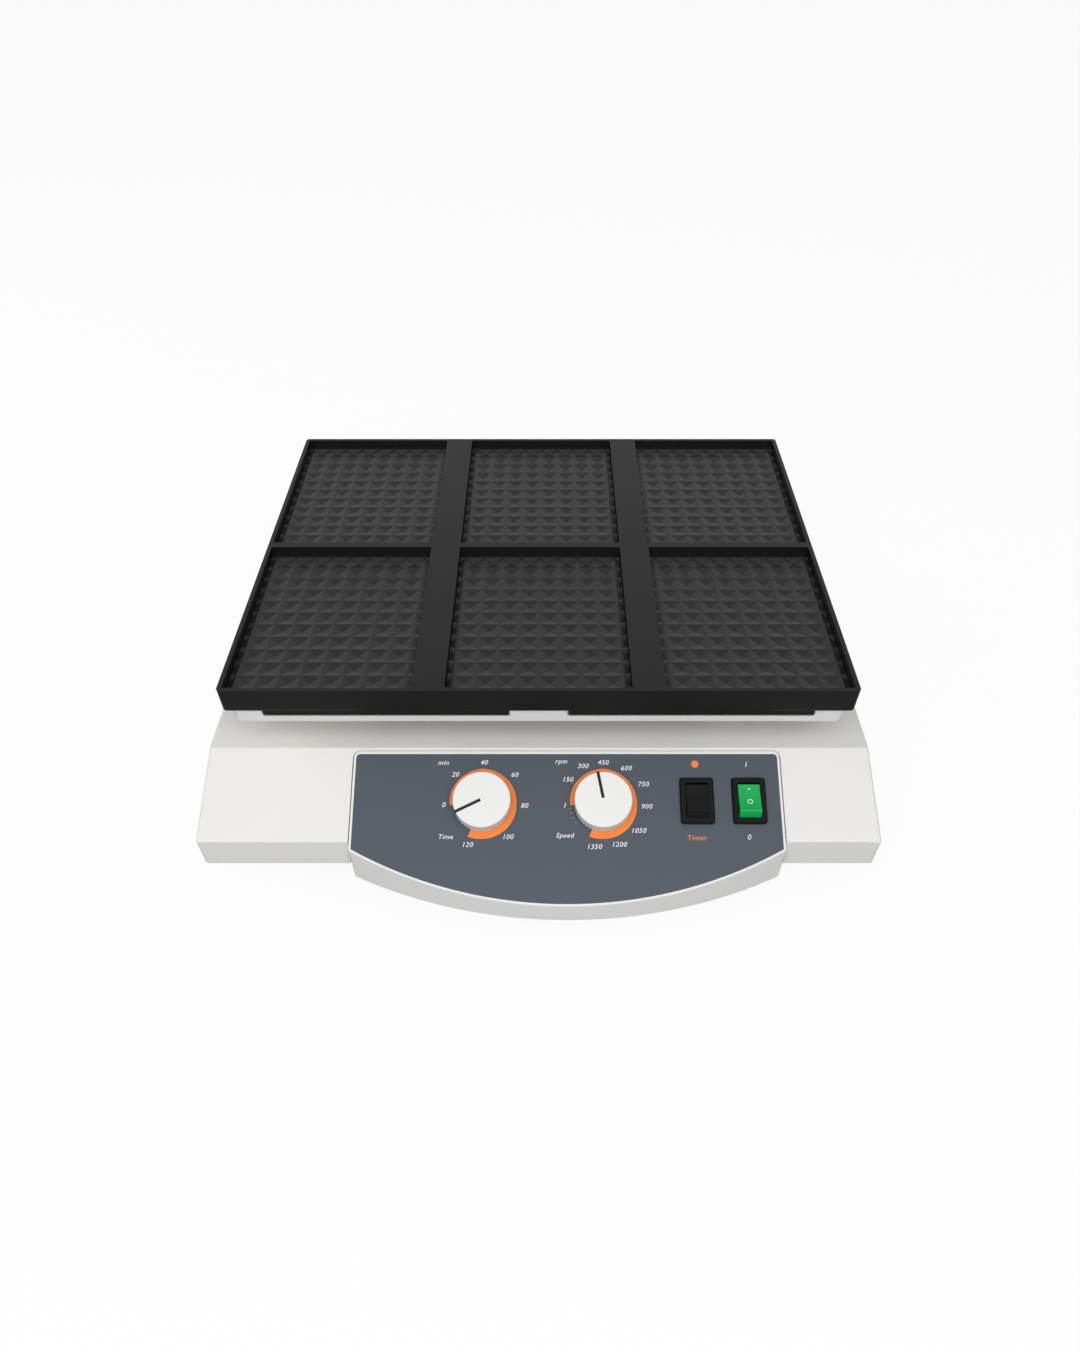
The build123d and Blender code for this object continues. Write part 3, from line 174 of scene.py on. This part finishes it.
def swing(group, value, amount, middle):
    """Turns a noise into a swing of some amount round a middle."""
    centred = maths(group, "SUBTRACT", value, 0.5)
    return maths(group, "ADD", maths(group, "MULTIPLY", centred, amount), middle)


grain, grain_in, grain_out = new_group(
    "fine_grain",
    [("Scale", "NodeSocketFloat", 2500.0), ("Roughness", "NodeSocketFloat", 0.5),
     ("Spread", "NodeSocketFloat", 0.08)],
    [("Height", "NodeSocketFloat"), ("Roughness", "NodeSocketFloat")],
)
grain_ins = grain_in.outputs
grain_height = noise(grain, grain_ins["Scale"], 3.0)
grain_rough = swing(grain, grain_height, grain_ins["Spread"], grain_ins["Roughness"])
grain.links.new(grain_height, grain_out.inputs["Height"])
grain.links.new(grain_rough, grain_out.inputs["Roughness"])
print("group:", grain.name)

# %% Group: tone drift
tone, tone_in, tone_out = new_group(
    "tone_drift",
    [("Color", "NodeSocketColor", (0.5, 0.5, 0.5, 1)), ("Scale", "NodeSocketFloat", 25.0),
     ("Amount", "NodeSocketFloat", 0.04)],
    [("Color", "NodeSocketColor")],
)
tone_ins = tone_in.outputs
tone_swing = swing(tone, noise(tone, tone_ins["Scale"], 2.0), tone_ins["Amount"], 1.0)
tinted = tone.nodes.new("ShaderNodeVectorMath")
tinted.operation = "SCALE"
tone.links.new(tone_ins["Color"], tinted.inputs[0])
tone.links.new(tone_swing, tinted.inputs["Scale"])
tone.links.new(tinted.outputs[0], tone_out.inputs["Color"])
print("group:", tone.name)

# %% [markdown]
# ## Finishes
# Most pieces are one kind of finish with other values: a colour that drifts, a grain that scatters
# the shine, and a bump of that same grain. One function builds it from a colour, a roughness, the
# grain's scale and the grain's depth, and each finish names its values.


# %% Build a finish
def finish(name, color, rough, grain_scale, depth, metal=0.0, specular=0.5):
    """A moulded, painted or metal finish from the two shared groups."""
    material = bpy.data.materials.new(name)
    material.use_nodes = True
    tree = material.node_tree
    shader = tree.nodes["Principled BSDF"]
    shader.inputs["Metallic"].default_value = metal
    shader.inputs["Specular IOR Level"].default_value = specular
    tone_node = tree.nodes.new("ShaderNodeGroup")
    tone_node.node_tree = tone
    tone_node.inputs["Color"].default_value = (*color, 1)
    grain_node = tree.nodes.new("ShaderNodeGroup")
    grain_node.node_tree = grain
    grain_node.inputs["Scale"].default_value = grain_scale
    grain_node.inputs["Roughness"].default_value = rough
    bump = tree.nodes.new("ShaderNodeBump")
    bump.inputs["Distance"].default_value = depth
    bump.inputs["Strength"].default_value = 1.0
    tree.links.new(tone_node.outputs["Color"], shader.inputs["Base Color"])
    tree.links.new(grain_node.outputs["Roughness"], shader.inputs["Roughness"])
    tree.links.new(grain_node.outputs["Height"], bump.inputs["Height"])
    tree.links.new(bump.outputs["Normal"], shader.inputs["Normal"])
    return material


def dress(material, *names):
    """Gives CAD nodes a finish."""
    for name in names:
        mesh = nodes[name].data
        mesh.materials.clear()
        mesh.materials.append(material)


def starting(prefix):
    """The names of the CAD nodes that start with a word."""
    return [name for name in nodes if name.startswith(prefix)]


# Outside, as the photograph shows it.
shell_grey = finish("shell_grey", (0.80, 0.79, 0.765), 0.5, 1800.0, 0.00002)
plate_grey = finish("plate_grey", (0.76, 0.75, 0.725), 0.5, 1500.0, 0.00002)
tray_black = finish(
    "tray_black", (0.0050, 0.0052, 0.0057), 0.42, 2600.0, 0.00002, specular=0.24)
mat_black = finish(
    "mat_black", (0.0075, 0.0077, 0.0082), 0.34, 3200.0, 0.00002, specular=0.36)
label_slate = finish(
    "label_slate", (0.070, 0.087, 0.109), 0.45, 2200.0, 0.00001, specular=0.3)
knob_white = finish("knob_white", (0.83, 0.825, 0.81), 0.45, 2400.0, 0.00001)
pointer_black = finish(
    "pointer_black", (0.012, 0.012, 0.013), 0.45, 2400.0, 0.00001, specular=0.25)
switch_black = finish(
    "switch_black", (0.005, 0.005, 0.0055), 0.38, 2800.0, 0.00001, specular=0.13)
rocker_black = finish(
    "rocker_black", (0.013, 0.013, 0.0135), 0.5, 2800.0, 0.000005, specular=0.08)
rocker_green = finish("rocker_green", (0.0, 0.42, 0.085), 0.3, 900.0, 0.000005)
# Underneath, behind and inside, where the photograph shows nothing.
foot_rubber = finish("foot_rubber", (0.02, 0.02, 0.02), 0.75, 2600.0, 0.00003)
pan_grey = finish("pan_grey", (0.40, 0.40, 0.39), 0.5, 1600.0, 0.00003)
turned_steel = finish("turned_steel", (0.56, 0.56, 0.55), 0.28, 1400.0, 0.000004, metal=1.0)
zinc_plate = finish("zinc_plate", (0.62, 0.62, 0.60), 0.33, 1400.0, 0.000004, metal=1.0)
cast_metal = finish("cast_metal", (0.66, 0.66, 0.66), 0.42, 900.0, 0.00002, metal=1.0)
bare_brass = finish("bare_brass", (0.74, 0.57, 0.27), 0.3, 1400.0, 0.000004, metal=1.0)
cast_iron = finish("cast_iron", (0.13, 0.13, 0.135), 0.6, 900.0, 0.00003, metal=0.6)
belt_black = finish("belt_black", (0.015, 0.015, 0.015), 0.7, 1800.0, 0.00003)
motor_grey = finish("motor_grey", (0.22, 0.23, 0.24), 0.45, 1500.0, 0.00002)
board_green = finish("board_green", (0.01, 0.13, 0.06), 0.35, 1500.0, 0.000005)
component_dark = finish("component_dark", (0.03, 0.03, 0.035), 0.4, 1500.0, 0.00001)
nylon_white = finish("nylon_white", (0.75, 0.75, 0.72), 0.5, 1500.0, 0.00001)
core_brown = finish("core_brown", (0.14, 0.09, 0.05), 0.4, 1500.0, 0.00001)
inlet_black = finish("inlet_black", (0.013, 0.013, 0.013), 0.4, 2400.0, 0.00001)
print("finishes:", len(bpy.data.materials))

# %% Dress the solids
dress(shell_grey, "housing_shell", "console_housing")
dress(plate_grey, "carrier_plate")
dress(tray_black, "platform_tray")
dress(mat_black, *starting("mat_"))
dress(label_slate, "panel_label")
dress(knob_white, "timer_knob", "speed_knob")
dress(pointer_black, "timer_pointer", "speed_pointer")
dress(switch_black, "timer_switch_frame", "power_switch_frame")
dress(rocker_black, "timer_rocker")
dress(rocker_green, "power_rocker")
dress(foot_rubber, "rubber_feet")
dress(pan_grey, "base_pan", "motor_bracket")
dress(turned_steel, "crank_shaft", "crank_inner_rings", "bearing_outer_rings",
      "table_bearing_rings", "motor_shaft", *starting("idler_crank"))
dress(zinc_plate, *[name for name in nodes if name.endswith("_screws")])
dress(cast_metal, "main_bearing_housing", "chassis_plate", "chassis_pillars", "driven_pulley",
      "motor_pulley", *starting("idler_carrier"))
dress(bare_brass, "potentiometer_nuts", "timer_shaft", "speed_shaft", "inlet_pins")
dress(cast_iron, "counterweight")
dress(belt_black, "drive_belt")
dress(motor_grey, "drive_motor", "timer_potentiometer", "speed_potentiometer")
dress(board_green, "control_board")
dress(component_dark, "board_components")
dress(nylon_white, "board_standoffs")
dress(core_brown, "mains_transformer")
dress(inlet_black, "mains_inlet", "fuse_drawer")
dressed = [name for name, o in nodes.items() if o.data.materials and o.data.materials[0].node_tree]
print("nodes without a finish:", sorted(set(nodes) - set(dressed)))

# %% [markdown]
# ## The print on the console
# The label is a printed film. Its words and rings are thin raised ink here: real geometry a few
# hundredths of a millimetre thick, so it stays sharp at any distance and exports with the model.
# Each piece of print is drawn flat at the origin and then set in its place on the slope.

# %% A place on the slope
slope_tilt = math.radians(31.0)
slope_top = Vector((0.0, -0.113249, 0.069))
slope_place = Matrix.Translation(slope_top) @ Matrix.Rotation(slope_tilt, 4, "X")
ink_lift = 0.00002
ink_depth = 0.00004
ink_middle = ink_lift + ink_depth / 2
print("slope's top edge at", [round(v, 4) for v in slope_top])


def on_slope(x, u, lift=0.0):
    """A place x millimetres across the slope and u down it, and a lift in metres above it."""
    return slope_place @ Matrix.Translation((x / 1000, -u / 1000, lift))


def settle(piece, material, body, place):
    """Moves a finished mesh to its place, gives it a finish and lets it ride on a body."""
    piece.data.transform(place)
    piece.data.materials.clear()
    piece.data.materials.append(material)
    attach(piece, body)


def from_bmesh(name, shape):
    """An object from a bmesh, with its faces turned outwards."""
    bmesh.ops.remove_doubles(shape, verts=shape.verts, dist=1e-7)
    bmesh.ops.recalc_face_normals(shape, faces=shape.faces)
    mesh = bpy.data.meshes.new(name)
    shape.to_mesh(mesh)
    shape.free()
    piece = bpy.data.objects.new(name, mesh)
    scene.collection.objects.link(piece)
    return piece


# %% Words
ink_white = finish("ink_white", (0.80, 0.80, 0.79), 0.5, 2400.0, 0.000004)
ink_orange = finish("ink_orange", (0.90, 0.225, 0.022), 0.45, 2400.0, 0.000004)
letter_slant = 0.22
letter_spacing = 1.1
letter_weight = 0.00003   # how far a letter's outline grows
scale_size = 3.35


def word(name, text, size, material, place, body="base", slant=letter_slant):
    """Flat lettering round the middle of its place, as a closed mesh a few hundredths thick."""
    curve = bpy.data.curves.new(name, "FONT")
    curve.body = text
    curve.size = size / 1000
    curve.shear = slant
    curve.space_character = letter_spacing
    curve.align_x = "CENTER"
    curve.align_y = "CENTER"
    curve.extrude = ink_depth / 2
    curve.offset = letter_weight
    curve.resolution_u = 3
    holder = bpy.data.objects.new(name + "_curve", curve)
    scene.collection.objects.link(holder)
    bpy.context.view_layer.update()
    evaluated = holder.evaluated_get(bpy.context.evaluated_depsgraph_get())
    mesh = bpy.data.meshes.new_from_object(evaluated)
    bpy.data.objects.remove(holder)
    shape = bmesh.new()
    shape.from_mesh(mesh)
    low = [min(v.co[i] for v in shape.verts) for i in (0, 1)]
    high = [max(v.co[i] for v in shape.verts) for i in (0, 1)]
    to_middle = (-(low[0] + high[0]) / 2, -(low[1] + high[1]) / 2, 0)
    bmesh.ops.translate(shape, verts=shape.verts, vec=to_middle)
    raised = place @ Matrix.Translation((0, 0, ink_middle))
    settle(from_bmesh(name, shape), material, body, raised)


scale_words = [
    # name, text, across, down the slope
    ("time_0", "0", -45.3, 28.8), ("time_20", "20", -40.2, 13.6), ("time_40", "40", -26.4, 7.5),
    ("time_60", "60", -11.5, 13.7), ("time_80", "80", -6.7, 29.2), ("time_100", "100", -14.3, 44.5),
    ("time_120", "120", -33.3, 48.3), ("time_unit", "min", -46.2, 7.7),
    ("speed_1", "1", 12.5, 29.1), ("speed_150", "150", 14.2, 16.1), ("speed_300", "300", 21.4, 9.3),
    ("speed_450", "450", 31.2, 7.5), ("speed_600", "600", 42.3, 10.4),
    ("speed_750", "750", 50.3, 18.5), ("speed_900", "900", 51.7, 29.6),
    ("speed_1050", "1050", 47.6, 41.5), ("speed_1200", "1200", 38.3, 48.2),
    ("speed_1350", "1350", 26.5, 49.3), ("speed_unit", "rpm", 10.8, 7.7),
]
for name, text, x, u in scale_words:
    word("print_" + name, text, scale_size, ink_white, on_slope(x, u))
word("print_time", "Time", 3.2, ink_white, on_slope(-43.9, 44.5))
word("print_speed", "Speed", 3.2, ink_white, on_slope(12.5, 44.2))
word("print_timer", "Timer", 3.5, ink_orange, on_slope(75.0, 45.0))
word("print_on", "I", 3.6, ink_white, on_slope(100.2, 8.5))
word("print_off", "0", 3.6, ink_white, on_slope(99.6, 44.7))

# %% [markdown]
# ## The marks on the power rocker
# The rocker rests tilted, and its top is a shallow hollow. A mark is set at the hollow's height and
# slope where it stands, and it rides on the rocker, so it tilts with it.

# %% Rocker marks
rocker_across, rocker_down = 100.4, 27.1
rocker_tilt = math.radians(-13.0)
rocker_half = 7.2      # from the pivot to either end
rocker_rise = 3.8      # from the pivot to the top of the ends
rocker_hollow = 0.6    # how deep the top sinks between the ends
rocker_clear = 0.03    # keeps a flat mark out of the curved top


def rocker_place(y):
    """A place on the tilted rocker's hollow top, y millimetres along it from the pivot."""
    share = y / rocker_half
    rise = rocker_rise - rocker_hollow * (1 - share ** 2) + rocker_clear
    dip = math.atan(2 * rocker_hollow * share / rocker_half)
    pivot = on_slope(rocker_across, rocker_down) @ Matrix.Rotation(rocker_tilt, 4, "X")
    return pivot @ Matrix.Translation((0, y / 1000, rise / 1000)) @ Matrix.Rotation(dip, 4, "X")


word("print_rocker_off", "O", 3.6, ink_white, rocker_place(-2.0), "power_rocker", 0.0)
word("print_rocker_on", "-", 5.0, ink_white, rocker_place(4.7), "power_rocker", 0.0)

# %% [markdown]
# ## The orange rings
# Each dial has a printed band round it whose outer edge swells and narrows. A short radial edge is
# carried round the dial step by step, and its outer end moves out or in a little at each step.

# %% Rings and dots
time_dial, speed_dial = (-27.0, 28.7), (30.5, 28.7)
ring_inner = 12.8
ring_steps = 98
ring_turns = (181, 135, 90, 45, 0, -45, -90, -113)
ring_reaches = (15.5, 16.9, 18.0, 17.2, 16.3, 16.7, 16.9, 17.1)
dash_radius, dash_length, dash_width = 15.6, 0.9, 0.3
dash_first, dash_step, dash_count = 187, 9, 4
dot_radius = 0.0018


def swell(angle):
    """The band's outer radius at an angle, between the measured ones."""
    for a, b, first, last in zip(ring_turns, ring_turns[1:], ring_reaches, ring_reaches[1:]):
        if b <= angle <= a:
            return first + (last - first) * (a - angle) / (a - b)
    return ring_reaches[-1]   # rounding can carry the last step past the last angle


def turned(angle, size):
    """A turn about Z by an angle in degrees."""
    return Matrix.Rotation(math.radians(angle), size, "Z")


def swelling_ring(name, dial):
    """A printed band that runs clockwise round a dial."""
    shape = bmesh.new()
    near = shape.verts.new((ring_inner / 1000, 0, 0))
    far = shape.verts.new((ring_reaches[0] / 1000, 0, 0))
    edge = shape.edges.new((near, far))
    start, span = ring_turns[0], ring_turns[-1] - ring_turns[0]
    bmesh.ops.rotate(shape, verts=[near, far], cent=(0, 0, 0), matrix=turned(start, 3))
    step = turned(span / ring_steps, 3)
    for i in range(ring_steps):
        made = bmesh.ops.extrude_edge_only(shape, edges=[edge])["geom"]
        ends = [v for v in made if isinstance(v, bmesh.types.BMVert)]
        moved = sorted(ends, key=lambda v: v.co.length)
        bmesh.ops.rotate(shape, verts=moved, cent=(0, 0, 0), matrix=step)
        reach = swell(start + span * (i + 1) / ring_steps) / 1000
        bmesh.ops.scale(shape, verts=moved[1:], vec=(reach / moved[1].co.length,) * 3)
        edges = [e for e in made if isinstance(e, bmesh.types.BMEdge)]
        edge = [e for e in edges if set(e.verts) == set(moved)][0]
    skin = bmesh.ops.extrude_face_region(shape, geom=shape.faces[:])["geom"]
    upper = [v for v in skin if isinstance(v, bmesh.types.BMVert)]
    bmesh.ops.translate(shape, verts=upper, vec=(0, 0, ink_depth))
    place = on_slope(*dial, ink_lift)
    settle(from_bmesh(name, shape), ink_orange, "base", place)


def dash(name, dial, angle):
    """A small printed dash that points away from a dial."""
    shape = bmesh.new()
    bmesh.ops.create_cube(shape, size=1.0)
    size = (dash_length / 1000, dash_width / 1000, ink_depth)
    bmesh.ops.scale(shape, verts=shape.verts, vec=size)
    bmesh.ops.translate(shape, verts=shape.verts, vec=(dash_radius / 1000, 0, 0))
    place = on_slope(*dial, ink_middle) @ turned(angle, 4)
    settle(from_bmesh(name, shape), ink_orange, "base", place)


swelling_ring("ring_time", time_dial)
swelling_ring("ring_speed", speed_dial)
for i in range(dash_count):
    dash("dash_speed_%d" % i, speed_dial, dash_first + dash_step * i)
dot = bmesh.new()
bmesh.ops.create_cone(
    dot, cap_ends=True, segments=40, radius1=dot_radius, radius2=dot_radius, depth=ink_depth)
dot_place = on_slope(75.4, 8.4, ink_middle)
settle(from_bmesh("print_dot", dot), ink_orange, "base", dot_place)

# %% [markdown]
# ## Floor
# The floor is plain and pale. The camera sees it almost as white paper, with a faint and soft shadow
# of the object, while its bounced light on the object stays that of a grey floor.

# %% Floor
floor_reach = 4.0                      # from the middle to each side
floor_grey, floor_pale = 0.36, 0.95    # how it lights the object, and how the camera sees it
floor_straight_part, floor_mirror_part = 0.93, 0.25

floor_shape = bmesh.new()
bmesh.ops.create_grid(floor_shape, x_segments=1, y_segments=1, size=floor_reach)
floor = from_bmesh("floor", floor_shape)
floor_white = bpy.data.materials.new("floor_white")
floor_white.use_nodes = True
paper = floor_white.node_tree
paper_shader = paper.nodes["Principled BSDF"]
paper_ray = paper.nodes.new("ShaderNodeLightPath")
paper_seen = maths(paper, "MULTIPLY", paper_ray.outputs["Is Camera Ray"], floor_pale - floor_grey)
paper_tone = maths(paper, "ADD", paper_seen, floor_grey)
paper.links.new(paper_tone, paper_shader.inputs["Base Color"])
paper_shader.inputs["Roughness"].default_value = 0.9
paper_white = paper.nodes.new("ShaderNodeEmission")
paper_white.inputs["Strength"].default_value = 1.0
paper_mix = paper.nodes.new("ShaderNodeMixShader")
paper.links.new(white_share(paper, floor_straight_part, floor_mirror_part), paper_mix.inputs[0])
paper.links.new(paper_shader.outputs[0], paper_mix.inputs[1])
paper.links.new(paper_white.outputs[0], paper_mix.inputs[2])
paper.links.new(paper_mix.outputs[0], paper.nodes["Material Output"].inputs["Surface"])
floor.data.materials.append(floor_white)

# %% Settings and finish
scene.view_settings.view_transform = "Standard"
